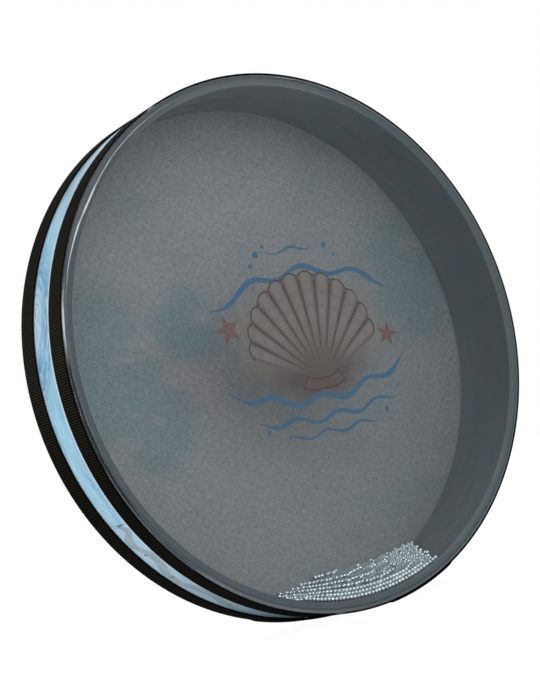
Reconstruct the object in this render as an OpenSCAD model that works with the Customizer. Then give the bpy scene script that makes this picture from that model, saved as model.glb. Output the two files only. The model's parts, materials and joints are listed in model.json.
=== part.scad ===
/* [Shell] */
// Outside diameter of the shell with its wrap
drum_d = 406.4; // [300:0.1:560]
// Depth of the drum over both heads
drum_depth = 63.5; // [50:0.1:110]
// Thickness of the laminated hoop
hoop_wall = 7.6; // [6:0.1:12]
// Thickness of the coloured wrap on the hoop
wrap_t = 0.5; // [0.3:0.05:1]
// Width of the flat land that each head rests on
land_w = 1.2; // [0.8:0.1:3]
// Depth of the slope that runs from the land down to the inner wall
bevel_depth = 1.5; // [0.5:0.1:4]
// Radius of the outer corner of the hoop
hoop_corner_r = 2; // [1:0.1:2.5]

/* [Heads] */
// Thickness of the clear front film
front_film_t = 0.25; // [0.15:0.01:0.4]
// Thickness of the textured rear film
rear_film_t = 0.35; // [0.2:0.01:0.4]
// Depth of the collar that each film turns down over the shell
collar_depth = 15; // [10:0.1:20]
// How much wider the bend of a film is than the corner of the hoop
bend_ease = 0.25; // [0.1:0.05:0.4]
// Thickness of the adhesive under the collars
adhesive_t = 0.1; // [0.05:0.01:0.3]
// Gap between a film and the land that it is stretched over
film_gap = 0.05; // [0.02:0.01:0.1]

/* [Webbing] */
// Width of the woven band round each edge
web_w = 19; // [16:0.1:22]
// Thickness of the woven band
web_t = 0.8; // [0.5:0.05:1.5]
// Gap between the collars and the woven bands
web_gap = 0.1; // [0.02:0.01:0.2]
// Distance from a head's face to the edge of the band
web_setback = 0.5; // [0.2:0.1:2]
// Length of the overlap where the ends of a band meet
web_lap = 61; // [30:1:90]
// Angle from the lowest point of the drum to the outer end of the band
web_lap_angle = 3; // [0:1:20]
// Length over which the outer end climbs onto the inner one
web_lap_taper = 6; // [2:0.5:12]

/* [Beads] */
// Diameter of the steel beads
bead_d = 3.2; // [2.8:0.05:4.5]
// Least gap between two beads
bead_gap = 0.03; // [0.02:0.01:0.3]
// Running gap between the beads and the shell and heads
bead_clearance = 0.3; // [0.2:0.05:1]
// Height of the heap of beads at the front head
heap_front_h = 12.5; // [8:0.1:14]
// Height of the heap of beads at the rear head
heap_rear_h = 20.6; // [10:0.1:22]
// Angle at which the top of the heap rises to the right along the rear head
heap_lean = 2.2; // [0:0.1:4]
// Height of the ripples on top of the heap
heap_ripple = 1; // [0:0.1:2]
// Distance between two ripples
heap_ripple_length = 85; // [40:1:160]
// Angle that the front row on the wall reaches on either side of the lowest point
front_row_angle = 19.3; // [10:0.1:24]
// Layers of beads under the top of the heap; the hidden ones below them are left out
heap_layers = 2; // [1:1:8]

/* [Hidden] */
$fn = 96;
// How far a cut runs past the face that it opens
overrun = 1;

// Radii of the layers, from the inside out
shell_or = drum_d / 2 - wrap_t;
shell_ir = shell_or - hoop_wall;
wrap_or = drum_d / 2;
film_ir = wrap_or + adhesive_t;

// Half the depth of the drum: each head's outer face lies this far from the middle
half_depth = drum_depth / 2;
web_edge = half_depth - web_setback;
bend_ir = hoop_corner_r + bend_ease;

// The collar of the thicker film is the seat that both bands share
web_ir = film_ir + max(front_film_t, rear_film_t) + web_gap;
web_or = web_ir + web_t;
lap_or = web_or + web_t;
lap_angle = web_lap / web_or * 180 / PI;
taper_angle = web_lap_taper / web_or * 180 / PI;

// The drum stands on its bands, with the axis this far up
axis_height = max(web_or, lap_or * cos(web_lap_angle));

// Beads lie in rows that follow the inner wall, three rows to a block of one angular pitch
block_rows = 3;
bead_step = bead_d + bead_gap;
row_step = bead_step * sqrt(3) / 2;
first_row_r = shell_ir - bead_clearance - bead_d / 2;
function block(row) = ceil(row / block_rows) - 1;
function row_r(row) = first_row_r - (row - 1) * row_step - block(row) * (bead_step - row_step);
function row_pitch(row) = bead_step / row_r((block(row) + 1) * block_rows) * 180 / PI;

// Slices of beads from the front head to the rear head
slice_room = drum_depth - front_film_t - rear_film_t - 2 * bead_clearance;
slice_count = floor(slice_room / bead_step);
slice_step = (slice_room - bead_d) / (slice_count - 1);
function slice_z(j) = half_depth - front_film_t - bead_clearance - bead_d / 2 - j * slice_step;

// A share from 0 to 1 that looks random but is the same each time
function scatter(a, b, c) = let (s = sin(a * 127.1 + b * 311.7 + c * 74.7) * 43.7585) s - floor(s);
// Seed for how far the slices of a block are turned against each other
turn_seed = 5;

// Where a ripple has its crest, across the drum
heap_crest_x = 0;
function ripple(x) = cos((x - heap_crest_x) / heap_ripple_length * 360);
// Distance of the top of the heap below the axis, at x across and at slice j
function surface_depth(x, j) = let (share = j / (slice_count - 1))
    shell_ir - heap_front_h * (1 - share)
    - (heap_rear_h + x * tan(heap_lean) + heap_ripple * ripple(x)) * share;

// The widest angle that the heap reaches on either side of the lowest point
heap_angle = acos((shell_ir - heap_rear_h - heap_ripple) / first_row_r) + heap_lean;

// Stands the drum on its rim: local +Z becomes the front, local +Y becomes up
module upright() {
    translate([0, 0, axis_height])
        rotate([90, 0, 0])
            children();
}

// The corner that a round of radius r takes off a square edge
module corner_waste(r) {
    difference() {
        square([r + overrun, r + overrun]);
        circle(r = r);
    }
}

// The slope between the land and the inner wall, as waste on one edge
module bevel_waste(top) {
    bevel_w = hoop_wall - hoop_corner_r - land_w;
    polygon([
        [shell_ir - overrun, top - bevel_depth],
        [shell_ir, top - bevel_depth],
        [shell_ir + bevel_w, top],
        [shell_ir + bevel_w, top + overrun],
        [shell_ir - overrun, top + overrun]
    ]);
}

module edge_waste(film_t) {
    top = half_depth - film_t - film_gap;
    translate([shell_or - hoop_corner_r, top - hoop_corner_r])
        corner_waste(hoop_corner_r);
    bevel_waste(top);
}

module shell() {
    front_top = half_depth - front_film_t - film_gap;
    rear_top = half_depth - rear_film_t - film_gap;
    color("#4b4a49")
        upright()
            rotate_extrude()
                difference() {
                    translate([shell_ir, -rear_top])
                        square([hoop_wall, front_top + rear_top]);
                    edge_waste(front_film_t);
                    mirror([0, 1])
                        edge_waste(rear_film_t);
                }
}

module shell_wrap() {
    half = half_depth - max(front_film_t, rear_film_t) - film_gap - hoop_corner_r;
    color("#8fbcdc")
        upright()
            rotate_extrude()
                translate([shell_or, -half])
                    square([wrap_t, 2 * half]);
}

// A ring of adhesive between the wrap and a collar
module adhesive_ring(film_t) {
    color("#d9dcd6")
        rotate_extrude()
            translate([wrap_or, half_depth - collar_depth])
                square([adhesive_t, collar_depth - film_t - bend_ir]);
}

// A film stretched over one edge: face, rounded shoulder and collar
module film_head(film_t) {
    bend_or = bend_ir + film_t;
    flat_r = film_ir - bend_ir;
    rotate_extrude() {
        translate([0, half_depth - film_t])
            square([flat_r, film_t]);
        translate([flat_r, half_depth - bend_or])
            intersection() {
                difference() {
                    circle(r = bend_or);
                    circle(r = bend_ir);
                }
                square([bend_or, bend_or]);
            }
        translate([film_ir, half_depth - collar_depth])
            square([film_t, collar_depth - bend_or]);
    }
}

// A pie slice of a disc, between two angles
module pie(r, from, to) {
    intersection() {
        circle(r = r);
        polygon([
            [0, 0],
            [2 * r * cos(from), 2 * r * sin(from)],
            [2 * r * cos(to), 2 * r * sin(to)]
        ]);
    }
}

// The outer end of a band where it climbs onto the inner end
module lap_climb(from) {
    to = from + taper_angle;
    buried_r = web_or - web_t / 2;
    polygon([
        [buried_r * cos(from), buried_r * sin(from)],
        [lap_or * cos(from), lap_or * sin(from)],
        [(web_or - web_t / 4) * cos(to), (web_or - web_t / 4) * sin(to)],
        [buried_r * cos(to), buried_r * sin(to)]
    ]);
}

// A woven band on one edge, its outer end lapped over its inner one
module webbing_band() {
    lap_start = web_lap_angle - 90;
    lap_end = lap_start + lap_angle;
    translate([0, 0, web_edge - web_w])
        linear_extrude(height = web_w)
            difference() {
                union() {
                    circle(r = web_or);
                    pie(lap_or, lap_start, lap_end);
                    lap_climb(lap_end);
                }
                circle(r = web_ir);
            }
}

module front_adhesive() {
    upright()
        adhesive_ring(front_film_t);
}

module rear_adhesive() {
    upright()
        mirror([0, 0, 1])
            adhesive_ring(rear_film_t);
}

module front_head() {
    color("#9fa6aa", 0.35)
        upright()
            film_head(front_film_t);
}

module rear_head() {
    color("#c9c8c4")
        upright()
            mirror([0, 0, 1])
                film_head(rear_film_t);
}

module front_webbing() {
    color("#16130f")
        upright()
            webbing_band();
}

module rear_webbing() {
    color("#16130f")
        upright()
            rotate([0, 180, 0])
                webbing_band();
}

// One row of beads at a constant distance from the axis, through all slices; row 1 lies on the wall
module bead_row(row) {
    r = row_r(row);
    pitch = row_pitch(row);
    reach = ceil(heap_angle / pitch) + 1;
    skin = bead_d / 2 + heap_layers * row_step;
    color("#c8d4da")
        upright()
            for (j = [0:slice_count - 1], i = [-reach:reach]) {
                angle = (i + (row % 2) / 2 + scatter(j, block(row), turn_seed)) * pitch;
                x = r * sin(angle);
                depth = r * cos(angle);
                under = depth - surface_depth(x, j);
                least = bead_d / 2 + (scatter(i, j, row) - 1 / 2) * bead_d / 2;
                in_heap = under > least && (under < skin || j == 0);
                in_front_row = j == 0 && row == 1 && abs(angle) < front_row_angle;
                if (in_heap || in_front_row)
                    translate([x, -depth, slice_z(j)])
                        sphere(d = bead_d, $fn = 16);
            }
}

shell();
shell_wrap();
front_adhesive();
rear_adhesive();
front_head();
rear_head();
front_webbing();
rear_webbing();
bead_row(1);  // bead_row_1
bead_row(2);  // bead_row_2
bead_row(3);  // bead_row_3
bead_row(4);  // bead_row_4
bead_row(5);  // bead_row_5
bead_row(6);  // bead_row_6
bead_row(7);  // bead_row_7
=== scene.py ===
import json
import math
from functools import partial

import bmesh
import bpy
import numpy as np
from mathutils import Matrix, Vector, noise


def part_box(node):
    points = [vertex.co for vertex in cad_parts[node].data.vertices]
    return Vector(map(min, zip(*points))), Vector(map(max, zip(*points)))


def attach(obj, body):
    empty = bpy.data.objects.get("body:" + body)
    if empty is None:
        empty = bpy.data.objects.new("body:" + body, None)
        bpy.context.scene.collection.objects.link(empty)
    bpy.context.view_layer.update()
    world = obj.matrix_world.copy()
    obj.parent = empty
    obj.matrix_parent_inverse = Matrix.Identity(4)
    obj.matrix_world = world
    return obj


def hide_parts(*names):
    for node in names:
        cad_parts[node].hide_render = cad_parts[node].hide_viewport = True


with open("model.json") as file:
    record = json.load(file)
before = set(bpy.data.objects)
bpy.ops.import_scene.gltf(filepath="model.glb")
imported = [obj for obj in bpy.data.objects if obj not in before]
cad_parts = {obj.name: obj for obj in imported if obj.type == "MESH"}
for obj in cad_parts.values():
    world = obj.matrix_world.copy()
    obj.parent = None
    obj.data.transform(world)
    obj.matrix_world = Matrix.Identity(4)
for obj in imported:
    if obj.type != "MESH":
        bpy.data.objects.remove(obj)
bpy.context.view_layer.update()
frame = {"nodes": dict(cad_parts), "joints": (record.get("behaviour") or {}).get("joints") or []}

mm = 0.001
axisPlace = Vector(frame["joints"][0]["pos_m"])  # the drum's axis runs through here, along Y
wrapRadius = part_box("shell_wrap")[1].x / mm
print("frame loaded, axis at", round(axisPlace.z / mm, 2), "mm")


def toLinear(hexColour):  # sRGB hex to the linear colour that a shader takes
    parts = [int(hexColour[i:i + 2], 16) / 255 for i in (1, 3, 5)]
    return [c / 12.92 if c <= 0.04045 else ((c + 0.055) / 1.055) ** 2.4 for c in parts] + [1]


def addNode(tree, kind, *values, out=0, **settings):
    # Values feed the node's sockets in order. A setting with a capital feeds the socket of that name, and any
    # other is one of the node's options. Gives the output that goes on to the next node.
    node = tree.nodes.new("ShaderNode" + kind)
    for name, value in settings.items():
        if name[0].islower():
            setattr(node, name, value)
    sockets = [s for s in node.inputs if s.enabled]
    feeds = list(zip(sockets, values)) + [(s, settings[s.name]) for s in sockets if s.name in settings]
    for socket, value in feeds:
        if isinstance(value, bpy.types.NodeSocket):
            tree.links.new(value, socket)
        elif value is not None:
            socket.default_value = toLinear(value) if isinstance(value, str) else value
    if isinstance(out, str):
        return node.outputs[out]
    outputs = [s for s in node.outputs if s.enabled]
    return outputs[out] if outputs else None


def startMaterial(name):  # an empty material and the function that adds nodes to it
    material = bpy.data.materials.new(name)
    material.use_nodes = True
    material.node_tree.nodes.clear()
    return material, partial(addNode, material.node_tree)


def placeOnDrum(add):
    # Where a point lies on the drum, in mm: x and z from the axis, y along it, the radius, and the arc length
    # on the wrap, which is 0 at the lowest point and grows to the left. "around" is a space for grain that
    # runs round the hoop.
    fromAxis = add("VectorMath", add("TexCoord", out="Object"), tuple(axisPlace), operation="SUBTRACT")
    x, y, z = add("SeparateXYZ", add("VectorMath", fromAxis, Scale=1 / mm, operation="SCALE")).node.outputs
    radius = add("VectorMath", add("CombineXYZ", x, z), operation="LENGTH")
    left = add("Math", x, -1.0, operation="MULTIPLY")
    down = add("Math", z, -1.0, operation="MULTIPLY")
    arc = add("Math", add("Math", left, down, operation="ARCTAN2"), wrapRadius, operation="MULTIPLY")
    across = add("Math", y, radius, operation="ADD")
    return {"x": x, "y": y, "z": z, "radius": radius, "arc": arc,
            "face": add("CombineXYZ", x, z), "around": add("CombineXYZ", x, z, across)}


def cloudsAt(add, place, sizes, detail, out=0):  # noise in clouds of about these sizes, in the place's units
    scaled = add("Mapping", place, Scale=[1 / size for size in sizes])
    return add("TexNoise", scaled, Scale=1.0, Detail=detail, out=out)


def patches(add, place, sizes, low, high, detail=3.0):
    # The same with more contrast: 0 where the noise is low and 1 where it is high. Such a pattern is given
    # further down as its sizes in mm, low, high and detail.
    clouds = cloudsAt(add, place, sizes, detail)
    return add("MapRange", clouds, low, high, interpolation_type="SMOOTHSTEP")


def lineAt(add, value, at, halfWidth, share=1.0):  # the share where the value is this one, and 0 further off
    gap = add("Math", add("Math", value, at, operation="SUBTRACT"), operation="ABSOLUTE")
    return add("MapRange", gap, halfWidth, 0.0, 0.0, share, interpolation_type="SMOOTHSTEP")


def stretch(add, value, rises, falls, share=1.0, ease="LINEAR"):
    # The share between two ranges, and 0 outside them. Each is given from where it is 0 to where it is full.
    begun = add("MapRange", value, *rises, 0.0, share, interpolation_type=ease)
    unended = add("MapRange", value, *falls, interpolation_type=ease)
    return add("Math", begun, unended, operation="MULTIPLY")


def spotsAt(add, place, spots):  # soft round spots on the heads: x, z and reach of each, in mm
    strongest = None
    for x, z, reach in spots:
        away = add("VectorMath", place, (x, z, 0), operation="DISTANCE")
        spot = add("MapRange", away, reach, 0.0, interpolation_type="SMOOTHSTEP")
        strongest = spot if strongest is None else add("Math", strongest, spot, operation="MAXIMUM")
    return strongest


def newObject(name, data):  # an object in the scene
    made = bpy.data.objects.new(name, data)
    bpy.context.scene.collection.objects.link(made)
    return made


def pieceFrom(name, mesh, material, body, replaced=None, sharpDegrees=40):
    work = bmesh.new()
    work.from_mesh(mesh)
    bmesh.ops.recalc_face_normals(work, faces=work.faces)
    work.to_mesh(mesh)
    work.free()
    mesh.polygons.foreach_set("use_smooth", [True] * len(mesh.polygons))
    mesh.set_sharp_from_angle(angle=math.radians(sharpDegrees))
    mesh.materials.append(material)
    piece = newObject(name, mesh)
    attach(piece, body)
    if replaced:
        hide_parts(replaced)
    return piece


# Camera, lamps and floor

view = {
    "place": (-0.7359, -1.0071, 0.11525),
    "aim": (-0.01622, 0.0, 0.20411),
    "rollDegrees": 14.965,
    "lensMm": 85.05,
    "sensorMm": 36.0,
}


def placeCamera():
    data = bpy.data.cameras.new("photoCamera")
    data.lens = view["lensMm"]
    data.sensor_width = view["sensorMm"]
    camera = newObject("photoCamera", data)
    place, aim = Vector(view["place"]), Vector(view["aim"])
    level = (aim - place).to_track_quat("-Z", "Y").to_matrix()
    rolled = level @ Matrix.Rotation(-math.radians(view["rollDegrees"]), 3, "Z")
    camera.matrix_world = Matrix.Translation(place) @ rolled.to_4x4()
    bpy.context.scene.camera = camera


studio = {
    "skyStrength": 0.5,  # light that the white surroundings throw on the drum
    "floorReach": 6.0, "floorColour": "#f2f2f2", "floorGlow": 1.12, "shadowShare": 0.15,
    "lamps": {  # place, power in watts and diameter
        "keyLamp": ((-0.7, -2.3, 1.7), 29.0, 2.4),
        "sideLamp": ((-2.2, -0.5, 0.1), 15.0, 0.9),
        "rearLamp": ((0.8, 2.0, 1.6), 12.0, 1.2),
    },
}


def hangLamps():
    for name, (place, power, size) in studio["lamps"].items():
        data = bpy.data.lights.new(name, "AREA")
        data.shape = "DISK"
        data.energy = power
        data.size = size
        lamp = newObject(name, data)
        lamp.location = place
        lamp.rotation_euler = (axisPlace - Vector(place)).to_track_quat("-Z", "Y").to_euler()


def paintSurroundings():  # white to the camera and in reflections, softer as a light
    world = bpy.data.worlds.new("studio")
    world.use_nodes = True
    world.node_tree.nodes.clear()
    add = partial(addNode, world.node_tree)
    ray = add("LightPath").node.outputs
    mirrored = add("Math", ray["Is Glossy Ray"], ray["Is Transmission Ray"], operation="MAXIMUM")
    seen = add("Math", ray["Is Camera Ray"], mirrored, operation="MAXIMUM")
    strength = add("MapRange", seen, 0.0, 1.0, studio["skyStrength"], 1.0)
    add("OutputWorld", add("Background", "#ffffff", strength))
    bpy.context.scene.world = world


def layFloor():
    reach = studio["floorReach"]
    mesh = bpy.data.meshes.new("floor")
    mesh.from_pydata([(-reach, -reach, 0), (reach, -reach, 0), (reach, reach, 0), (-reach, reach, 0)],
                     [], [(0, 1, 2, 3)])
    floor = newObject("floor", mesh)
    paint, add = startMaterial("paleStudioFloor")
    lit = add("BsdfDiffuse", studio["floorColour"])
    glow = add("Emission", "#ffffff", studio["floorGlow"])
    seen = add("LightPath", out="Is Camera Ray")
    white = add("Math", seen, 1 - studio["shadowShare"], operation="MULTIPLY")
    add("OutputMaterial", add("MixShader", white, lit, glow))
    mesh.materials.append(paint)


bpy.context.scene.view_settings.view_transform = "Standard"
placeCamera()
hangLamps()
paintSurroundings()
layFloor()
print("camera, lamps and floor in place")


# The hoop

hoop = {
    "wall": "#3d4144", "teal": "#2e494f", "edge": "#37484d", "paintedLight": "#6b7377", "fibre": "#1f2426",
    "mottle": ((24, 24, 12), 0.42, 0.64, 4.0),
    "fibres": ((60, 60, 2.4), 0.35, 0.7, 2.0),  # drawn coarser than the real ones, so that they show
    "fibreShares": (0.2, 0.04),  # on the wall and on the edge
    "edgeRadiusMm": (194.8, 199.0),  # where the wall turns into the edge under the clear head
    "topArcMm": (480.0, 590.0), "topShare": 0.5,  # painted light: paler towards the top, on both sides
    "frontMm": (-16.0, -31.0), "frontGain": 1.6,  # and there more so towards the clear head
    "topEdgeShare": 0.65,  # share of the edge's own tone that is left at the top
    "footArcMm": -100.0, "footReachMm": 170.0, "footShare": 0.55,
    "rearMm": (-6.0, 28.0), "rearShare": 0.3,
    "roughness": (0.46, 0.6), "reliefMm": 0.03,
}


def sealedFibreHoop():
    # Laminated fibre board, wound and sealed: dark grey, with a teal mottle and fine lines round it, satin
    material, add = startMaterial("sealedFibreHoop")
    at = placeOnDrum(add)
    mottle = patches(add, at["around"], *hoop["mottle"])
    fibres = patches(add, at["around"], *hoop["fibres"])
    tone = add("Mix", mottle, hoop["wall"], hoop["teal"], data_type="RGBA")

    # Painted light: paler at the top, at the foot and towards the rear head
    fromFoot = add("Math", at["arc"], operation="ABSOLUTE")
    atTop = add("MapRange", fromFoot, *hoop["topArcMm"], 0.0, hoop["topShare"])
    nearFront = add("MapRange", at["y"], *hoop["frontMm"], 1.0, hoop["frontGain"])
    atFoot = lineAt(add, at["arc"], hoop["footArcMm"], hoop["footReachMm"], hoop["footShare"])
    paintedLight = add("Math", add("Math", atTop, nearFront, operation="MULTIPLY"), atFoot, operation="MAXIMUM")
    nearRear = add("MapRange", at["y"], *hoop["rearMm"], 0.0, hoop["rearShare"])
    paintedLight = add("Math", paintedLight, nearRear, operation="MAXIMUM")
    tone = add("Mix", paintedLight, tone, hoop["paintedLight"], data_type="RGBA")

    edge = add("MapRange", at["radius"], *hoop["edgeRadiusMm"], interpolation_type="SMOOTHSTEP")
    keeps = add("MapRange", atTop, 0.0, hoop["topShare"], 1.0, hoop["topEdgeShare"])
    tone = add("Mix", add("Math", edge, keeps, operation="MULTIPLY"), tone, hoop["edge"], data_type="RGBA")
    lined = add("MapRange", edge, 0.0, 1.0, *hoop["fibreShares"])
    tone = add("Mix", add("Math", fibres, lined, operation="MULTIPLY"), tone, hoop["fibre"], data_type="RGBA")
    roughness = add("MapRange", mottle, 0.0, 1.0, *hoop["roughness"])
    bump = add("Bump", Height=fibres, Distance=hoop["reliefMm"] * mm, Strength=0.3)
    add("OutputMaterial", add("BsdfPrincipled", tone, Roughness=roughness, IOR=1.5, Normal=bump))
    return material


# The wrap: its grain runs round the hoop, with an arched figure and a band of flames, both twice in a turn.
# Places along the print are in mm from the middle of the arched figure, and "Row" is a place across it.

wrap = {
    "light": "#a0daf2", "mid": "#80c0e2", "deep": "#4689b6", "pale": "#b4cfe2", "white": "#dcebf2",
    "grey": "#8ba3ad", "lobe": "#b8dbec", "knot": "#30434f", "dull": "#547588", "paintedShadow": "#475763",
    "swayClouds": ((45, 45, 16), 2.0), "swayMm": 16.0,  # how the grain wanders
    "streaks": ((30, 30, 5.0), 0.34, 0.66, 4.0), "rings": ((12, 12, 0.1), 0.4, 0.62, 4.0),
    "fibres": ((14, 14, 0.9), 0.3, 0.7),  # these three are drawn coarser than the real ones, to show at all
    "flecks": ((6, 6, 0.9), 0.5, 0.66), "marks": ((2.5, 2.5, 0.8), 0.63, 0.72),
    "fibreShare": 0.4, "inkShares": (0.22, 0.62),  # of flecks and marks outside the arches and inside
    "archArcMm": 370.0, "archHalfWidthMm": 27.0, "archHeightMm": 13.0, "archRowMm": 14.0,
    "archSway": 0.9, "archFades": (2.5, 1.6), "archCore": (1.1, 0.85), "archGrainMm": 18.0,
    "dullMm": ((50.0, 125.0), (290.0, 230.0)), "dullShares": (0.95, 0.55),  # between the streaks and on them
    "flameMm": (-262.0, -154.0), "flameFadesMm": (12.0, 1.0), "flameRowMm": 1.5, "flameHalfMm": (6.2, 4.6),
    "flameSwayMm": 5.0, "lobeShare": 0.7, "flameShare": 0.9,
    "swingFromMm": -238.0, "swingMm": 5.5, "firstSwingMm": 31.0, "shorterMm": 5.6,
    "knots": (  # place along the print, row and reach
        (-153.0, 0.0, 9.0), (-183.0, 3.0, 3.5), (-209.0, 5.0, 5.0), (-258.0, 0.0, 4.0),
    ),
    "crackMm": 1.3, "crackSwayMm": 9.0,
    "wornFrontMm": (-7.6, -9.0), "wornRearMm": (11.0, 12.0), "wornShare": 0.75, "wornRearShare": 0.6,
    "paintedShadowArcMm": 10.0, "paintedShadowReachMm": 190.0, "paintedShadowShare": 0.85,
    "roughness": (0.6, 0.48), "reliefMm": 0.08,
}


def printedWoodgrainWrap():
    # Paper foil printed with a dyed wood grain: light blue, with pale and deeper fibres along it, satin
    material, add = startMaterial("printedWoodgrainWrap")
    at = placeOnDrum(add)
    half = math.pi * wrapRadius / 2  # half of one repeat of the print
    along = add("Math", at["arc"], wrap["archArcMm"], operation="SUBTRACT")
    along = add("Math", along, half, -half, operation="WRAP")
    sway = cloudsAt(add, at["around"], *wrap["swayClouds"])
    sway = add("Math", sway, 0.5, operation="SUBTRACT")

    # Distance from the middle of the arched figure, 1 on its inner arch
    wide = add("Math", along, wrap["archHalfWidthMm"], operation="DIVIDE")
    tall = add("Math", at["y"], wrap["archRowMm"], operation="SUBTRACT")
    tall = add("Math", tall, wrap["archHeightMm"], operation="DIVIDE")
    arch = add("VectorMath", add("CombineXYZ", wide, tall), operation="LENGTH")
    arch = add("Math", sway, wrap["archSway"], arch, operation="MULTIPLY_ADD")
    inArch = add("MapRange", arch, *wrap["archFades"], interpolation_type="SMOOTHSTEP")

    # Across the grain: straight along the hoop, and round the arch
    swayed = add("Math", sway, wrap["swayMm"], at["y"], operation="MULTIPLY_ADD")
    bent = add("Math", arch, wrap["archGrainMm"], operation="MULTIPLY")
    across = add("Mix", inArch, swayed, bent, data_type="FLOAT")
    grain = add("CombineXYZ", at["x"], at["z"], across)

    # Streaks along the hoop, with rings and a pale core in the arches
    streaks = patches(add, grain, *wrap["streaks"])
    fibres = patches(add, grain, *wrap["fibres"])
    flecks = patches(add, grain, *wrap["flecks"])
    marks = patches(add, grain, *wrap["marks"])
    tone = add("Mix", streaks, wrap["mid"], wrap["light"], data_type="RGBA")
    rings = patches(add, add("CombineXYZ", at["x"], at["z"], arch), *wrap["rings"])
    ringed = add("Mix", rings, wrap["mid"], wrap["deep"], data_type="RGBA")
    tone = add("Mix", inArch, tone, ringed, data_type="RGBA")
    inDull = stretch(add, along, *wrap["dullMm"], ease="SMOOTHSTEP")
    dulled = add("MapRange", streaks, 0.0, 1.0, *wrap["dullShares"])
    dulled = add("Math", inDull, dulled, operation="MULTIPLY")
    tone = add("Mix", dulled, tone, wrap["dull"], data_type="RGBA")
    core = add("MapRange", arch, *wrap["archCore"], interpolation_type="SMOOTHSTEP")
    tone = add("Mix", core, tone, wrap["pale"], data_type="RGBA")

    # Flames: one grey band that swings from side to side until it ends at a knot. The first half swing has
    # the length given, and each one after it is shorter by the same amount.
    first, shorter = wrap["firstSwingMm"], wrap["shorterMm"]
    start = first ** 2 + 2 * shorter * wrap["swingFromMm"]
    run = add("Math", along, -2 * shorter, start, operation="MULTIPLY_ADD")
    root = add("Math", add("Math", run, 0.0, operation="MAXIMUM"), operation="SQRT")
    swings = add("Math", first, root, operation="SUBTRACT")
    swings = add("Math", swings, math.pi / shorter, operation="MULTIPLY")
    middle = add("Math", add("Math", swings, operation="COSINE"), -wrap["swingMm"], operation="MULTIPLY")
    off = add("Math", at["y"], middle, operation="SUBTRACT")
    off = add("Math", off, wrap["flameRowMm"], operation="SUBTRACT")
    off = add("Math", sway, wrap["flameSwayMm"], off, operation="MULTIPLY_ADD")
    off = add("Math", off, operation="ABSOLUTE")
    flame = add("MapRange", off, *wrap["flameHalfMm"], interpolation_type="SMOOTHSTEP")
    (begin, end), (opens, ends) = wrap["flameMm"], wrap["flameFadesMm"]
    burnt = stretch(add, along, (begin - opens, begin), (end + ends, end - ends), ease="SMOOTHSTEP")
    flame = add("Math", flame, burnt, operation="MULTIPLY")
    for amount, share, colour in ((burnt, "lobeShare", "lobe"), (flame, "flameShare", "grey"),
                                  (fibres, "fibreShare", "white")):
        amount = add("Math", amount, wrap[share], operation="MULTIPLY")
        tone = add("Mix", amount, tone, wrap[colour], data_type="RGBA")

    # Flecks, marks and the cracked knots
    inked = add("MapRange", inArch, 0.0, 1.0, *wrap["inkShares"])
    for amount, colour in ((flecks, "deep"), (marks, "knot")):
        amount = add("Math", amount, inked, operation="MULTIPLY")
        tone = add("Mix", amount, tone, wrap[colour], data_type="RGBA")
    crooked = add("Math", sway, wrap["crackSwayMm"], along, operation="MULTIPLY_ADD")
    for place, row, reach in wrap["knots"]:
        crack = lineAt(add, crooked, place, wrap["crackMm"])
        crack = add("Math", crack, lineAt(add, at["y"], row, reach), operation="MULTIPLY")
        tone = add("Mix", crack, tone, wrap["knot"], data_type="RGBA")

    # Worn white beside the bands, and painted shadow low down, where the drum stands on the floor
    frontEdge = add("MapRange", at["y"], *wrap["wornFrontMm"], interpolation_type="SMOOTHSTEP")
    rearEdge = add("MapRange", at["y"], *wrap["wornRearMm"], 0.0, wrap["wornRearShare"])
    worn = add("Math", frontEdge, rearEdge, operation="MAXIMUM")
    worn = add("Math", worn, wrap["wornShare"], operation="MULTIPLY")
    tone = add("Mix", worn, tone, wrap["white"], data_type="RGBA")
    shadowed = lineAt(add, at["arc"], wrap["paintedShadowArcMm"], wrap["paintedShadowReachMm"], wrap["paintedShadowShare"])
    tone = add("Mix", shadowed, tone, wrap["paintedShadow"], data_type="RGBA")

    roughness = add("MapRange", fibres, 0.0, 1.0, *wrap["roughness"])
    relief = add("Math", fibres, flame, operation="ADD")
    bump = add("Bump", Height=relief, Distance=wrap["reliefMm"] * mm, Strength=0.6)
    add("OutputMaterial", add("BsdfPrincipled", tone, Roughness=roughness, IOR=1.5, Normal=bump,
                              **{"Specular IOR Level": 0.3}))
    return material


glueCoat = {"thin": "#c9cbc4", "thick": "#e6e7e1", "lumps": ((8, 8, 2.5), 0.35, 0.65), "reliefMm": 0.1}


def curedContactGlue():
    # Contact adhesive, cured: milky and slightly glossy, thicker in places
    material, add = startMaterial("curedContactGlue")
    lumps = patches(add, placeOnDrum(add)["around"], *glueCoat["lumps"])
    tone = add("Mix", lumps, glueCoat["thin"], glueCoat["thick"], data_type="RGBA")
    bump = add("Bump", Height=lumps, Distance=glueCoat["reliefMm"] * mm, Strength=0.5)
    add("OutputMaterial", add("BsdfPrincipled", tone, Roughness=0.35, IOR=1.5, Normal=bump))
    return material


# The rear head

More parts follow.
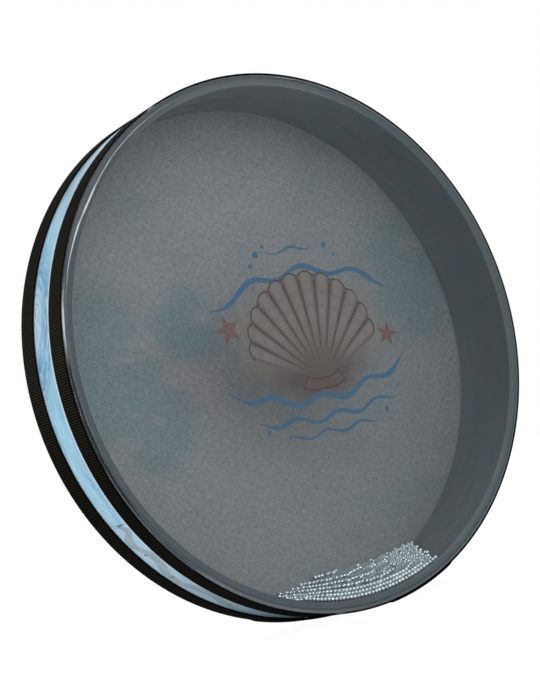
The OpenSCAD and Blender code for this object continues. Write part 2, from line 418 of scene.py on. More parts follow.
rearFilm = {
    "pale": "#969b9d", "deep": "#6c7275", "teal": "#d5f1f5", "mauve": "#fff5f7", "shade": "#e6e8e8",
    "weft": ((4.4, 1.1, 1), 0.3, 0.7, 2.0),  # about twice as coarse as the real grain, to show at all
    "warp": ((1.1, 4.4, 1), 0.3, 0.7, 2.0), "warpShare": 0.45, "reliefMm": 0.04,
    "hazes": (  # tint, share and pattern
        ("teal", 0.35, ((75, 52.5, 1), 0.45, 0.7, 2.0)),
        ("shade", 0.35, ((50, 35, 1), 0.45, 0.7, 2.0)),
    ),
    "swirlClouds": ((60, 45, 1), 2.0), "swirlMm": (24, 24, 0),  # how the spots swirl
    "uneven": ((44, 26, 1), 0.2, 0.62, 2.0), "spotFull": 0.55,
    "tealSpots": ((-156, 36, 74), (-136, -2, 66), (-108, -36, 60), (-62, 32, 46), (164, 34, 74)),
    "mauveSpots": ((-70, -8, 50),),
    "shadeXMm": (-10.0, 130.0), "shadeRadiusMm": (180.0, 198.0),
    "roughness": (0.62, 0.5),
}


def clothGrainFilm():
    # Polyester film embossed with a cloth-like grain: matt smoky grey, with faint teal and mauve tints
    material, add = startMaterial("clothGrainFilm")
    at = placeOnDrum(add)
    weft = patches(add, at["face"], *rearFilm["weft"])
    warp = patches(add, at["face"], *rearFilm["warp"])
    weave = add("Mix", rearFilm["warpShare"], weft, warp, data_type="FLOAT")
    tone = add("Mix", weave, rearFilm["deep"], rearFilm["pale"], data_type="RGBA")
    for tint, share, pattern in rearFilm["hazes"]:
        haze = add("Math", patches(add, at["face"], *pattern), share, operation="MULTIPLY")
        tone = add("Mix", haze, tone, rearFilm[tint], data_type="RGBA", blend_type="MULTIPLY")

    # Teal and mauve spots, swirled and uneven inside
    swirl = cloudsAt(add, at["face"], *rearFilm["swirlClouds"], out="Color")
    swirl = add("VectorMath", swirl, (0.5, 0.5, 0.5), operation="SUBTRACT")
    swirl = add("VectorMath", swirl, rearFilm["swirlMm"], operation="MULTIPLY")
    swept = add("VectorMath", swirl, at["face"], operation="ADD")
    uneven = patches(add, at["face"], *rearFilm["uneven"])
    for tint, spots in (("teal", rearFilm["tealSpots"]), ("mauve", rearFilm["mauveSpots"])):
        amount = add("Math", spotsAt(add, swept, spots), uneven, operation="MULTIPLY")
        amount = add("MapRange", amount, 0.0, rearFilm["spotFull"], interpolation_type="SMOOTHSTEP")
        tone = add("Mix", amount, tone, rearFilm[tint], data_type="RGBA", blend_type="MULTIPLY")

    # Painted shade: darker to the right and along the wall
    shaded = add("MapRange", at["x"], *rearFilm["shadeXMm"])
    shaded = add("Math", shaded, add("MapRange", at["radius"], *rearFilm["shadeRadiusMm"]), operation="ADD")
    tone = add("Mix", shaded, tone, rearFilm["shade"], data_type="RGBA", blend_type="MULTIPLY")
    roughness = add("MapRange", weave, 0.0, 1.0, *rearFilm["roughness"])
    bump = add("Bump", Height=weave, Distance=rearFilm["reliefMm"] * mm, Strength=0.5)
    add("OutputMaterial", add("BsdfPrincipled", tone, Roughness=roughness, IOR=1.57, Normal=bump))
    return material


# The clear front head

film = {
    "thickMm": 0.21, "insetMm": 0.04, "bendMm": 2.25, "bendEaseMm": 0.25, "bendSteps": 10,
    "collarMm": 15.0, "collarRows": (0.4, 0.7, 1.0),
    "ringsMm": (40, 80, 120, 160, 185, 195, 199), "turns": 360,
    "veil": "#98a0a5", "seated": "#646b71", "hazy": "#7c8589", "pale": "#d2d8de", "creaseHighlight": "#eef4f6",
    "gap": "#040506",
    "veilShare": 0.06, "grazingShare": 0.3, "seatedShare": 0.3, "seatMm": (199.3, 199.8),
    "waverClouds": ((16, 16, 400), 3.0), "waverMm": 1.3, "patchy": ((12, 12, 60), 0.35, 0.62),
    # An "Arc" is in mm from the lowest point, more to the left: a middle and reach, or a range from where
    # the thing is missing to where it is full. The rest are radii, widths and shares.
    "creaseMm": 200.5, "creaseHalfMm": (0.65, 1.25), "creaseWideArc": (450.0, 50.0),
    "creasePatches": (0.65, 1.0), "creaseFaintArc": (255.0, 285.0), "creaseFaintShare": 0.22,
    "creaseStrongArc": (372.0, 420.0), "creaseStrongShare": 0.78, "creaseGoneArc": (615.0, 450.0),
    "drawnInArc": (400.0, 450.0), "drawnInMm": 1.3, "dentArc": (462.0, 45.0), "dentMm": 0.7,
    "paintedSheenArc": (365.0, 40.0), "paintedSheenShare": 0.85, "paintedSheenOnArc": (320.0, 345.0), "paintedSheenOnShare": 0.09,
    "paintedSheenBesideMm": (1.1, 1.9),  # from the crease outwards
    "gapMm": 202.1, "gapHalfMm": 1.1, "gapArc": ((212.0, 232.0), (343.0, 331.0)),
    "gapAgainArc": (400.0, 24.0), "gapAgainShare": 0.4,
    "beyondMm": (202.1, 202.6), "beyondArc": (246.0, 262.0), "beyondShare": 0.6,
    "hazyMm": (200.4, 201.6), "hazyArc": ((-638.0, -600.0), (175.0, 150.0)), "hazyShare": 0.75,
    "lipMm": 203.0, "lipHalfMm": 0.8, "lipArc": ((-190.0, -150.0), (175.0, 150.0)), "lipShare": 0.35,
    "smearMm": 200.9, "smearHalfMm": 0.9, "smearArc": ((-628.0, -618.0), (-545.0, -556.0)),
    "smearPatches": (0.3, 0.6), "smearShare": 0.7,
}


def clearPetFilm():
    # Clear polyester film, cast and stretched: glossy with a thin grey veil. Where it bends over the edge and
    # is glued down it shows on the left a painted highlight along the crease, a paler zone of painted sheen
    # and a dark gap of painted shadow, and a haze elsewhere.
    material, add = startMaterial("clearPetFilm")
    at = placeOnDrum(add)
    arc = at["arc"]
    seated = add("MapRange", at["radius"], *film["seatMm"], interpolation_type="SMOOTHSTEP")
    waver = cloudsAt(add, at["around"], *film["waverClouds"])
    waver = add("Math", waver, 0.5, operation="SUBTRACT")
    wavering = add("Math", waver, film["waverMm"], at["radius"], operation="MULTIPLY_ADD")
    patchy = patches(add, at["around"], *film["patchy"])

    # The crease is drawn as a painted highlight, a pale line. It comes in faintly low on the left, is
    # strongest and furthest in above the middle, and fades towards the top
    radius = film["creaseMm"]
    drawnIn = add("MapRange", arc, *film["drawnInArc"], radius, radius - film["drawnInMm"])
    dent = lineAt(add, arc, *film["dentArc"], film["dentMm"])
    creaseRadius = add("Math", drawnIn, dent, operation="SUBTRACT")
    faint = add("MapRange", arc, *film["creaseFaintArc"], 0.0, film["creaseFaintShare"])
    strong = add("MapRange", arc, *film["creaseStrongArc"], 0.0, film["creaseStrongShare"])
    fades = add("MapRange", arc, *film["creaseGoneArc"])
    strength = add("Math", add("Math", faint, strong, operation="ADD"), fades, operation="MULTIPLY")
    wide = add("MapRange", lineAt(add, arc, *film["creaseWideArc"]), 0.0, 1.0, *film["creaseHalfMm"])
    creaseHighlight = add("Math", lineAt(add, wavering, creaseRadius, wide), strength, operation="MULTIPLY")
    broken = add("MapRange", patchy, 0.0, 1.0, *film["creasePatches"])
    creaseHighlight = add("Math", creaseHighlight, broken, operation="MULTIPLY")

    # Outside it the film is painted paler as a painted sheen of light, most of all at the left
    outside = add("Math", wavering, creaseRadius, operation="SUBTRACT")
    outside = add("MapRange", outside, *film["paintedSheenBesideMm"])
    paintedSheen = lineAt(add, arc, *film["paintedSheenArc"], film["paintedSheenShare"])
    paintedSheenOn = add("MapRange", arc, *film["paintedSheenOnArc"], 0.0, film["paintedSheenOnShare"])
    paintedSheen = add("Math", paintedSheen, paintedSheenOn, operation="ADD")
    paintedSheen = add("Math", paintedSheen, add("Math", outside, fades, operation="MULTIPLY"), operation="MULTIPLY")

    # Below that a dark gap opens, a painted shadow where the film leaves the edge. Its upper part is dark all
    # the way out, and it shows once more further up.
    gap = stretch(add, arc, *film["gapArc"])
    again = lineAt(add, arc, *film["gapAgainArc"], film["gapAgainShare"])
    gap = add("Math", gap, again, operation="ADD")
    gap = add("Math", gap, lineAt(add, wavering, film["gapMm"], film["gapHalfMm"]), operation="MULTIPLY")
    beyond = add("MapRange", wavering, *film["beyondMm"])
    upper = stretch(add, arc, film["beyondArc"], film["gapArc"][1], film["beyondShare"])
    beyond = add("Math", beyond, upper, operation="MULTIPLY")
    gap = add("Math", gap, beyond, operation="MAXIMUM")

    # From low on the left round the right to the top the bend is hazy, with a painted highlight, a pale line,
    # along the bottom
    hazy = add("MapRange", at["radius"], *film["hazyMm"])
    hazy = add("Math", hazy, stretch(add, arc, *film["hazyArc"], film["hazyShare"]), operation="MULTIPLY")
    lip = lineAt(add, wavering, film["lipMm"], film["lipHalfMm"])
    lip = add("Math", lip, stretch(add, arc, *film["lipArc"], film["lipShare"]), operation="MULTIPLY")

    # A broken smear of glue right of the top, as dark as the gap
    smear = lineAt(add, wavering, film["smearMm"], film["smearHalfMm"])
    smear = add("Math", smear, stretch(add, arc, *film["smearArc"]), operation="MULTIPLY")
    broken = add("MapRange", patchy, *film["smearPatches"], 0.0, film["smearShare"])
    smear = add("Math", smear, broken, operation="MULTIPLY")
    gap = add("Math", gap, smear, operation="MAXIMUM")

    tone = add("Mix", seated, film["veil"], film["seated"], data_type="RGBA")
    facing = add("LayerWeight", Blend=0.35, out="Facing")
    veil = add("MapRange", facing, 0.3, 1.0, film["veilShare"], film["grazingShare"],
               interpolation_type="SMOOTHSTEP")
    held = add("Math", seated, film["seatedShare"], operation="MULTIPLY")
    alpha = add("Math", veil, held, operation="MAXIMUM")
    layers = (hazy, "hazy"), (paintedSheen, "pale"), (gap, "gap"), (creaseHighlight, "creaseHighlight"), (lip, "creaseHighlight")
    for amount, colour in layers:
        tone = add("Mix", amount, tone, film[colour], data_type="RGBA")
        alpha = add("Math", alpha, amount, operation="MAXIMUM")
    add("OutputMaterial", add("BsdfPrincipled", tone, Roughness=0.1, IOR=1.57, Alpha=alpha,
                              **{"Specular IOR Level": 0.15}))
    return material


def makeClearFilm():  # face, bend and collar as in the CAD head, but thinner to leave room for the print
    low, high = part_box("front_head")
    inner = film["bendMm"]
    outer = inner + film["thickMm"]
    collarRadius = high.x / mm - film["bendEaseMm"]
    face = -low.y / mm - film["insetMm"]
    middle, centre = collarRadius - inner, face - outer
    steps, radii = film["bendSteps"], film["ringsMm"]
    bend = [math.pi / 2 * k / steps for k in range(steps + 1)]
    depths = [-low.y / mm - film["collarMm"] * share for share in film["collarRows"]]
    outline = [(r, centre + outer) for r in radii]
    outline += [(middle + outer * math.sin(a), centre + outer * math.cos(a)) for a in bend]
    outline += [(middle + outer, y) for y in depths]
    outline += [(middle + inner, y) for y in depths[::-1]]
    outline += [(middle + inner * math.cos(a), centre + inner * math.sin(a)) for a in bend]
    outline += [(r, centre + inner) for r in radii[::-1]]
    turns, rows = film["turns"], len(outline)
    points, faces = [], []
    for i in range(turns):
        a = 2 * math.pi * i / turns
        points += [(r * mm * math.cos(a), -y * mm, axisPlace.z + r * mm * math.sin(a)) for r, y in outline]
        here, there = i * rows, (i + 1) % turns * rows
        faces += [(here + k, there + k, there + k + 1, here + k + 1) for k in range(rows - 1)]
    for k in (0, rows - 1):  # the two middles
        points.append((0, -outline[k][1] * mm, axisPlace.z))
        faces += [(len(points) - 1, i * rows + k, (i + 1) % turns * rows + k) for i in range(turns)]
    mesh = bpy.data.meshes.new("clearFilm")
    mesh.from_pydata(points, [], faces)
    pieceFrom("clearFilm", mesh, clearPetFilm(), "drum", "front_head")


# The woven bands, with ribs and lapped ends

band = {
    "groove": "#010101", "rib": "#37352b", "edge": "#060606", "yarnMm": 0.5, "yarnPerRib": 1.3,
    "yarnShares": (0.45, 1.0), "reliefMm": 0.12,
    "litArcMm": 365.0, "litReachMm": 140.0, "litShares": (0.35, 1.0),  # painted light: paler on the left, darker further round
    "widthMm": 19.0, "thickMm": 0.8, "seatGapMm": 0.1, "innerGapMm": 0.01,
    "selvedgeMm": 0.6, "selvedgeThick": 0.45,  # share of the thickness that is left at the selvedges
    "ribMm": 1.9, "ribHeightMm": 0.34, "ribSteps": 6, "ribRound": 0.92,
    "swayMm": 0.08, "swayLengthMm": 7.0,  # how the ribs wander
    "lapFromDegrees": 3.0, "lapMm": 61.0, "climbMm": 6.0, "endGapMm": 1.0,
    "slackArcMm": (150.0, 345.0), "slackMm": 1.5, "slackEase": 0.6,  # the front band draws back from the edge
    "rowsMm": (0.0, 0.12, 0.4, 1.0, 3.5, 9.5, 15.5, 18.0, 18.6, 18.88, 19.0),
}


def ribbedWebbing():
    # Woven polyester tape: black yarn, dull; the rib crests are painted lighter and brownish as painted light
    # and sheen, and the grooves between them painted dark as shade
    material, add = startMaterial("ribbedWebbing")
    rib, across, _ = add("SeparateXYZ", add("TexCoord", out="UV")).node.outputs
    crest = add("Math", rib, 0.5, operation="PINGPONG")  # 0 in the grooves and 0.5 on the crests
    crest = add("MapRange", crest, 0.1, 0.4, interpolation_type="SMOOTHSTEP")
    yarn = add("CombineXYZ", add("Math", rib, band["yarnPerRib"], operation="MULTIPLY"),
               add("Math", across, 1 / band["yarnMm"], operation="MULTIPLY"))
    yarn = add("TexNoise", yarn, Scale=1.0, Detail=3.0)
    # Painted light on the rib crests and painted shade in the grooves
    lit = add("Math", crest, add("MapRange", yarn, 0.35, 0.65, *band["yarnShares"]), operation="MULTIPLY")
    # Painted light: the ribs are paler on the left and darker further round
    fromFoot = add("Math", placeOnDrum(add)["arc"], operation="ABSOLUTE")
    worn = lineAt(add, fromFoot, band["litArcMm"], band["litReachMm"])
    worn = add("MapRange", worn, 0.0, 1.0, *band["litShares"])
    lit = add("Math", lit, worn, operation="MULTIPLY")
    tone = add("Mix", lit, band["groove"], band["rib"], data_type="RGBA")
    half, selvedge = band["widthMm"] / 2, band["selvedgeMm"]
    fromMiddle = add("Math", add("Math", across, half, operation="SUBTRACT"), operation="ABSOLUTE")
    atEdge = add("MapRange", fromMiddle, half - 2 * selvedge, half - selvedge)
    tone = add("Mix", atEdge, tone, band["edge"], data_type="RGBA")
    bump = add("Bump", Height=yarn, Distance=band["reliefMm"] * mm, Strength=0.6)
    add("OutputMaterial", add("BsdfPrincipled", tone, Roughness=0.85, IOR=1.5, Normal=bump,
                              **{"Specular IOR Level": 0.02}))
    return material


def makeBand(name, node, material):
    low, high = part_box(node)
    isFront = low.y < 0
    headEdge, innerEdge = (low.y, high.y) if isFront else (high.y, low.y)
    side = 1 if isFront else -1
    thick, width = band["thickMm"], band["widthMm"]
    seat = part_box("rear_head")[1].x / mm + band["seatGapMm"]
    toAngle = 1 / (seat + thick)  # radians for each mm of length
    first = math.radians(band["lapFromDegrees"] - 90)
    lapEnd = first + band["lapMm"] * toAngle
    climb = band["climbMm"] * toAngle
    last = lapEnd + 2 * math.pi - band["endGapMm"] * toAngle
    perRib = band["ribSteps"]
    steps = round((last - first) / toAngle / band["ribMm"]) * perRib
    begin, end = band["slackArcMm"]
    seed = 3.1 if isFront else 8.3  # the two bands differ
    thin = band["selvedgeThick"]
    points, marks = [], []
    for i in range(steps + 1):
        angle = first + (last - first) * i / steps
        share = min(max((angle - lapEnd) / climb, 0), 1)
        lift = thick * (1 - share * share * (3 - 2 * share))
        fromCrest = 2 * (i % perRib) / perRib - 1
        dip = band["ribHeightMm"] * (1 - math.sqrt(1 - fromCrest ** 2 * band["ribRound"]))
        swayPlace = Vector(((angle - first) / toAngle / band["swayLengthMm"], seed, 0))
        sway = noise.noise(swayPlace) * band["swayMm"]
        along = ((1.5 * math.pi - angle) * wrapRadius - begin) / (end - begin)
        drawn = 0
        if isFront and 0 < along < 1:
            drawn = band["slackMm"] * math.sin(math.pi * along) ** band["slackEase"]
        rows = []  # place across the band, height and shift
        for w in band["rowsMm"]:
            near = min(w, width - w)
            woven = math.sqrt(max(0.0, 1 - (1 - min(near / band["selvedgeMm"], 1)) ** 2))
            shift = sway * (1 - 2 * near / width) * mm if near > 0 else 0
            rows.append((w, (thick - dip) * (thin + (1 - thin) * woven), shift))
        rows += [(width, band["innerGapMm"], 0), (0, band["innerGapMm"], 0)]  # the flat inner side
        for w, raised, shift in rows:
            r = seat + lift + raised
            y = headEdge + (innerEdge - headEdge) * w / width + shift + drawn * (1 - w / width) * mm
            points.append((side * r * mm * math.cos(angle), y, axisPlace.z + r * mm * math.sin(angle)))
            marks.append((i / perRib, w))
    ring = len(rows)
    faces = [tuple(range(ring)), tuple(range(steps * ring, (steps + 1) * ring))]
    for i in range(steps):
        here, there = i * ring, (i + 1) * ring
        for k in range(ring):
            n = (k + 1) % ring
            faces.append((here + k, here + n, there + n, there + k))
    mesh = bpy.data.meshes.new(name)
    mesh.from_pydata(points, [], faces)
    piece = pieceFrom(name, mesh, material, "drum", node, sharpDegrees=50)
    layer = piece.data.uv_layers.new(name="ribAndAcross")
    corners = np.zeros(len(piece.data.loops), np.int32)
    piece.data.loops.foreach_get("vertex_index", corners)
    layer.data.foreach_set("uv", np.array(marks, np.float32)[corners].ravel())


# The loose beads

bead = {
    "pale": "#e4eff0", "deep": "#b9cbd0", "roughness": (0.38, 0.28),
    "dullSpots": ((4.0, 4.0, 4.0), 0.35, 0.65, 2.0),  # about one ball each, so that single balls differ
    "rows": 7, "wallRows": 3,  # the lower rows ride with the wall beads and the others with the surface ones
    "roundness": 3, "shrink": 0.999,  # keeps the balls inside the CAD ones
}


def polishedSteelBalls():
    # Carbon steel balls, ground and tumbled: bright and cool, a little dulled from rolling
    material, add = startMaterial("polishedSteelBalls")
    place = add("VectorMath", add("TexCoord", out="Object"), Scale=1 / mm, operation="SCALE")
    dull = patches(add, place, *bead["dullSpots"])
    tone = add("Mix", dull, bead["deep"], bead["pale"], data_type="RGBA")
    roughness = add("MapRange", dull, 0.0, 1.0, *bead["roughness"])
    add("OutputMaterial", add("BsdfPrincipled", tone, Metallic=1.0, Roughness=roughness))
    return material


def ballCentres(node):  # the middle of each ball of a CAD bead row, and the balls' radius
    mesh = frame["nodes"][node].data
    points = np.zeros(len(mesh.vertices) * 3, np.float32)
    mesh.vertices.foreach_get("co", points)
    points = points.reshape(-1, 3).astype(float)
    edges = np.zeros(len(mesh.edges) * 2, np.int32)
    mesh.edges.foreach_get("vertices", edges)
    edges = edges.reshape(-1, 2)
    label = np.arange(len(points))
    while True:  # each ball's points come to share its lowest point number
        before = label.copy()
        least = np.minimum(label[edges[:, 0]], label[edges[:, 1]])
        np.minimum.at(label, edges[:, 0], least)
        np.minimum.at(label, edges[:, 1], least)
        label = label[label]
        if np.array_equal(before, label):
            break
    names, index = np.unique(label, return_inverse=True)
    low = np.full((len(names), 3), 1e9)
    high = np.full((len(names), 3), -1e9)
    np.minimum.at(low, index, points)
    np.maximum.at(high, index, points)
    return (low + high) / 2, float(np.median(high - low)) / 2


def makeBalls(row, body, material):  # round balls in the places of the CAD row's faceted ones
    centres, radius = ballCentres(f"bead_row_{row}")
    work = bmesh.new()
    bmesh.ops.create_icosphere(work, subdivisions=bead["roundness"], radius=radius * bead["shrink"])
    corners = np.array([v.co for v in work.verts])
    faces = np.array([[v.index for v in f.verts] for f in work.faces])
    work.free()
    starts = np.arange(len(centres)) * len(corners)
    mesh = bpy.data.meshes.new(f"steelBalls{row}")
    mesh.from_pydata((centres[:, None] + corners[None]).reshape(-1, 3).tolist(), [],
                     (faces[None] + starts[:, None, None]).reshape(-1, 3).tolist())
    pieceFrom(f"steelBallsRow{row}", mesh, material, body, f"bead_row_{row}", sharpDegrees=180)
    return len(centres)


# The print on the clear head: a scallop shell on a bank of sand between wave lines, with stars and bubbles

motif = {
    "blue": "#2b5774", "blueWorn": "#3d6980", "light": "#858481", "beige": "#807b76", "rose": "#4f3d3c",
    "dark": "#2b2120", "coral": "#5f4a48", "coralWorn": "#705c5a",
    "layerMm": 0.008, "clearMm": 0.002, "coat": ((1.6, 1.6, 1), 0.45, 0.75, 4.0), "coatReliefMm": 0.03,
    "cloud": ((26, 26, 1), 0.3, 0.7, 4.0), "cloudShare": 0.2, "halfWidthMm": 84.0, "lineSteps": 120,
    "sandMm": (0.0, 2.0, 84.0, 58.0),  # the middle of the bank, its half width and its half height
    "sandWide": 0.97, "sandFades": (1.0, 0.62), "sandPatches": 0.12, "sandCover": 0.45,
    "sandShadeMm": (62.0, 12.0), "sandShadeScale": (0.8, 1.5, 1),
    "hingeMm": (2.0, -34.0), "shellMm": 80.0, "fanDegrees": 132.0, "ribs": 12, "shellCover": 0.65,
    "grooveShare": 0.8, "rootMm": (60.0, 8.0), "rootShare": 0.75,
    "growth": ((5.0, 1, 1), 0.4, 0.62, 2.0), "growthShare": 0.35,
    "rimDrop": 0.24, "rimPower": 2.2, "scallop": 0.04, "rimSteps": 10,  # steps of the rim for each rib
    "footMm": (5, 2), "rimLineMm": 1.1, "hingeLineMm": 0.9,
    "ribLine": ((0.22, 0.25), (0.4, 0.5), (0.6, 0.7), (0.8, 0.9), (0.97, 1.2)),  # share of the way, mm wide
    "hingeOutlineMm": ((-19, -3), (-15, 5), (-6, 1.9), (6, 1.9), (15, 5), (19, -3), (9, -6), (-9, -6)),
    "stars": ((-70.0, 16.0, 12.0, 12.0), (71.0, -10.0, 10.5, -20.0)),  # x, z, size and lean in degrees
    "starWaist": 0.42, "starDots": (0.3, 0.6), "starDotMm": 0.6,
    "bubbles": (  # x, z and radius
        (-30, 67, 2.6), (-37, 59, 1.8), (-22, 72, 1.5), (34, 66, 2.3), (41, 58, 1.5), (-58, -62, 1.6),
        (52, -66, 1.9),
    ),
    "waves": (  # height, sag, wave height, wave length and lead of each line, then its half length and width
        ((50, -22, 3.2, 48, 0.6), 84, 4.4),
        ((-47, 18, 3.2, 44, 2.0), 84, 4.4),
        ((-61, 9, 2.6, 38, 0.4), 66, 3.2),
        ((-72, 5, 2.0, 32, 3.0), 45, 2.4),
        ((67, -6, 1.6, 28, 1.0), 26, 2.0),
    ),
    "taperMm": 18.0, "tipShare": 0.03, "swell": 0.15, "swellMm": 9.0,
}


def screenInk(name, colour, worn):
    # Screen ink on film: flat and opaque, with an uneven coat and pinholes, drawn coarser so that they show
    material, add = startMaterial(name)
    coat = patches(add, placeOnDrum(add)["face"], *motif["coat"])
    tone = add("Mix", coat, colour, worn, data_type="RGBA")
    bump = add("Bump", Height=coat, Distance=motif["coatReliefMm"] * mm, Strength=0.4)
    add("OutputMaterial", add("BsdfPrincipled", tone, Roughness=0.45, IOR=1.5, Normal=bump))
    return material


def shadedInk(name, isShell):
    # Process ink in soft tones: beige, turned rose brown in the shell's grooves or on the sand at its foot
    material, add = startMaterial(name)
    at = placeOnDrum(add)
    fromHinge = add("VectorMath", at["face"], (*motif["hingeMm"], 0), operation="SUBTRACT")
    cloud = patches(add, at["face"], *motif["cloud"])
    if isShell:
        dx, dz, _ = add("SeparateXYZ", fromHinge).node.outputs
        perRib = motif["ribs"] / math.radians(motif["fanDegrees"])
        turn = add("Math", add("Math", dx, dz, operation="ARCTAN2"), perRib, operation="MULTIPLY")
        groove = add("Math", turn, 0.5, operation="PINGPONG")  # 0 in the grooves and 0.5 on the ribs
        groove = add("MapRange", groove, 0.38, 0.0, 0.0, motif["grooveShare"],
                     interpolation_type="SMOOTHSTEP")
        away = add("VectorMath", fromHinge, operation="LENGTH")
        root = add("MapRange", away, *motif["rootMm"], 0.0, motif["rootShare"],
                   interpolation_type="SMOOTHSTEP")
        growth = patches(add, add("CombineXYZ", away), *motif["growth"])
        growth = add("Math", growth, motif["growthShare"], operation="MULTIPLY")
        amount = add("Math", add("Math", groove, root, operation="MAXIMUM"), growth, operation="MAXIMUM")
        main, cover = motif["light"], motif["shellCover"]
    else:
        lower = add("VectorMath", fromHinge, motif["sandShadeScale"], operation="MULTIPLY")
        lower = add("VectorMath", lower, operation="LENGTH")
        amount = add("MapRange", lower, *motif["sandShadeMm"], interpolation_type="SMOOTHSTEP")
        mx, mz, wide, tall = motif["sandMm"]
        away = add("VectorMath", at["face"], (mx, mz, 0), operation="SUBTRACT")
        away = add("VectorMath", away, (1 / wide, 1 / tall, 1), operation="MULTIPLY")
        away = add("VectorMath", away, operation="LENGTH")
        away = add("Math", cloud, motif["sandPatches"], away, operation="MULTIPLY_ADD")
        main = motif["beige"]
        cover = add("MapRange", away, *motif["sandFades"], 0.0, motif["sandCover"],  # thins out all round
                    interpolation_type="SMOOTHSTEP")
    tone = add("Mix", amount, main, motif["rose"], data_type="RGBA")
    clouded = add("Math", cloud, motif["cloudShare"], operation="MULTIPLY")
    tone = add("Mix", clouded, tone, motif["beige"], data_type="RGBA")
    add("OutputMaterial", add("BsdfPrincipled", tone, Roughness=0.5, IOR=1.5, Alpha=cover))
    return material


def inkPiece(name, outlines, layer, material):  # outlines in mm, x to the right and z up from the axis
    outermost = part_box("front_head")[0].y
    front = outermost + layer * motif["layerMm"] * mm
    back = outermost + (film["insetMm"] - motif["clearMm"]) * mm
    work = bmesh.new()
    for outline in outlines:
        work.faces.new([work.verts.new((x * mm, front, axisPlace.z + z * mm)) for x, z in outline])
    work.normal_update()
    bmesh.ops.triangulate(work, faces=work.faces[:], ngon_method="EAR_CLIP")
    made = bmesh.ops.extrude_face_region(work, geom=work.faces[:])
    for item in made["geom"]:
        if isinstance(item, bmesh.types.BMVert):
            item.co.y = back
    mesh = bpy.data.meshes.new(name)
    work.to_mesh(mesh)
    work.free()
    pieceFrom(name, mesh, material, "drum", sharpDegrees=30)


def stroke(path, widths):  # the outline of a brush stroke along a path
    left, right = [], []
    for i, (x, z) in enumerate(path):
        before, after = path[max(i - 1, 0)], path[min(i + 1, len(path) - 1)]
        dx, dz = after[0] - before[0], after[1] - before[1]
        half = widths[i] / 2 / (math.hypot(dx, dz) or 1)
        left.append((x - dz * half, z + dx * half))
        right.append((x + dz * half, z - dx * half))
    return left + right[::-1]


def waveHeight(x, z, sag, tall, longMm, lead):  # a rolling line of waves that sags towards its ends
    turn = 2 * math.pi * x / longMm + lead
    return z + sag * (x / motif["halfWidthMm"]) ** 2 + tall * math.sin(turn)


def placesAlong(half):  # from one end of a line to the other
    steps = motif["lineSteps"]
    return [half * (2 * k / steps - 1) for k in range(steps + 1)]


def waveOutlines():
    outlines = []
    for wave, half, wide in motif["waves"]:
        path = [(x, waveHeight(x, *wave)) for x in placesAlong(half)]
        widths = []
        for x, z in path:  # the line tapers at its ends and swells a little on the way
            taper = min(1, (half - abs(x)) / motif["taperMm"] + motif["tipShare"])
            widths.append(wide * taper * (1 + motif["swell"] * (math.sin(x / motif["swellMm"]) - 1)))
        outlines.append(stroke(path, widths))
    return outlines


def sandOutline():  # the bank between the two long waves
    topWave, lowWave = motif["waves"][0][0], motif["waves"][1][0]
    xs = placesAlong(motif["halfWidthMm"] * motif["sandWide"])
    return [(x, waveHeight(x, *lowWave)) for x in xs] + [(x, waveHeight(x, *topWave)) for x in xs[::-1]]


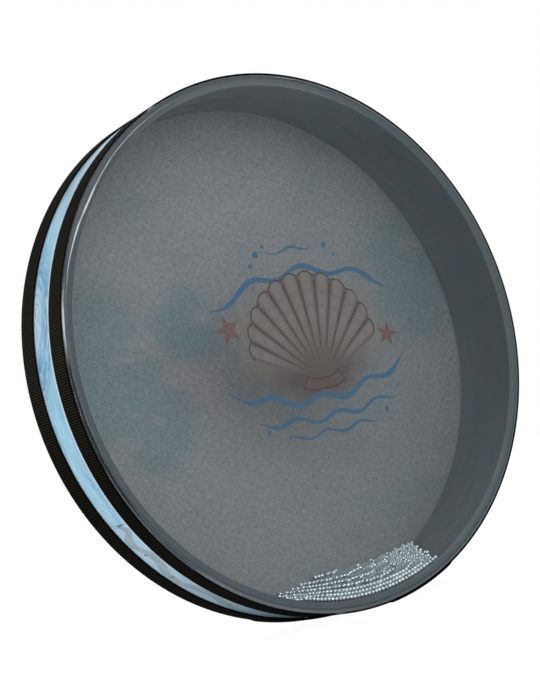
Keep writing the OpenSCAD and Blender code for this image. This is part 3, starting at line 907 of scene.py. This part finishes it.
def shellOutlines():  # the fan with its scalloped rim, the lines between its ribs, and the hinge
    hx, hz = motif["hingeMm"]
    size, ribs, fan = motif["shellMm"], motif["ribs"], math.radians(motif["fanDegrees"])
    perRib = motif["rimSteps"]
    steps = ribs * perRib
    rim, reach = [], []
    for k in range(steps + 1):
        a = fan / 2 - fan * k / steps
        reach.append(size * (1 - motif["rimDrop"] * abs(2 * k / steps - 1) ** motif["rimPower"]))
        r = reach[k] + size * motif["scallop"] * math.sin(math.pi * (k % perRib) / perRib)
        rim.append((hx - r * math.sin(a), hz + r * math.cos(a)))
    wide, high = motif["footMm"]
    fanOutline = [(hx + wide, hz + high), (hx - wide, hz + high)] + rim
    lines = []
    for i in range(1, ribs):
        a, r = fan / 2 - fan * i / ribs, reach[i * perRib]
        path = [(hx - r * share * math.sin(a), hz + r * share * math.cos(a)) for share, _ in motif["ribLine"]]
        lines.append(stroke(path, [width for _, width in motif["ribLine"]]))
    lines.append(stroke(rim, [motif["rimLineMm"]] * len(rim)))
    hinge = [(hx + x, hz + z) for x, z in motif["hingeOutlineMm"]]
    lines.append(stroke(hinge + hinge[:1], [motif["hingeLineMm"]] * (len(hinge) + 1)))
    return fanOutline, lines, hinge


def starOutline(x, z, size, lean):
    outline = []
    for i in range(10):
        r = size if i % 2 == 0 else size * motif["starWaist"]
        a = math.radians(90 + lean + 36 * i)
        outline.append((x + r * math.cos(a), z + r * math.sin(a)))
    return outline


def roundOutline(x, z, r):
    return [(x + r * math.cos(k * math.pi / 9), z + r * math.sin(k * math.pi / 9)) for k in range(18)]


def makePrint():
    fanOutline, lines, hinge = shellOutlines()
    stars = [starOutline(*star) for star in motif["stars"]]
    dots = []
    for x, z, size, lean in motif["stars"]:
        for i in range(5):
            a = math.radians(90 + lean + 72 * i)
            for share in motif["starDots"]:
                r = size * share
                dots.append(roundOutline(x + r * math.cos(a), z + r * math.sin(a), motif["starDotMm"]))
    inkPiece("printSand", [sandOutline()], 4, shadedInk("sandProcessInk", False))
    inkPiece("printBlue", waveOutlines() + [roundOutline(*b) for b in motif["bubbles"]], 3,
             screenInk("blueScreenInk", motif["blue"], motif["blueWorn"]))
    inkPiece("printShell", [fanOutline, hinge], 2, shadedInk("shellProcessInk", True))
    inkPiece("printStars", stars, 1, screenInk("coralScreenInk", motif["coral"], motif["coralWorn"]))
    inkPiece("printLines", lines + dots, 0, screenInk("darkScreenInk", motif["dark"], motif["rose"]))


# The drum put together

def dress(node, material):  # a CAD node keeps its mesh and gets this material
    for slot in frame["nodes"][node].material_slots:
        slot.material = material


dress("shell", sealedFibreHoop())
dress("shell_wrap", printedWoodgrainWrap())
glue = curedContactGlue()
dress("front_adhesive", glue)
dress("rear_adhesive", glue)
dress("rear_head", clothGrainFilm())
makeClearFilm()
print("hoop, wrap and heads dressed")

webbing = ribbedWebbing()
makeBand("frontBand", "front_webbing", webbing)
makeBand("rearBand", "rear_webbing", webbing)
print("woven bands made")

steel = polishedSteelBalls()
total = 0
for row in range(1, bead["rows"] + 1):
    total += makeBalls(row, "wall_beads" if row <= bead["wallRows"] else "surface_beads", steel)
print("steel balls made:", total)

makePrint()
print("print made")
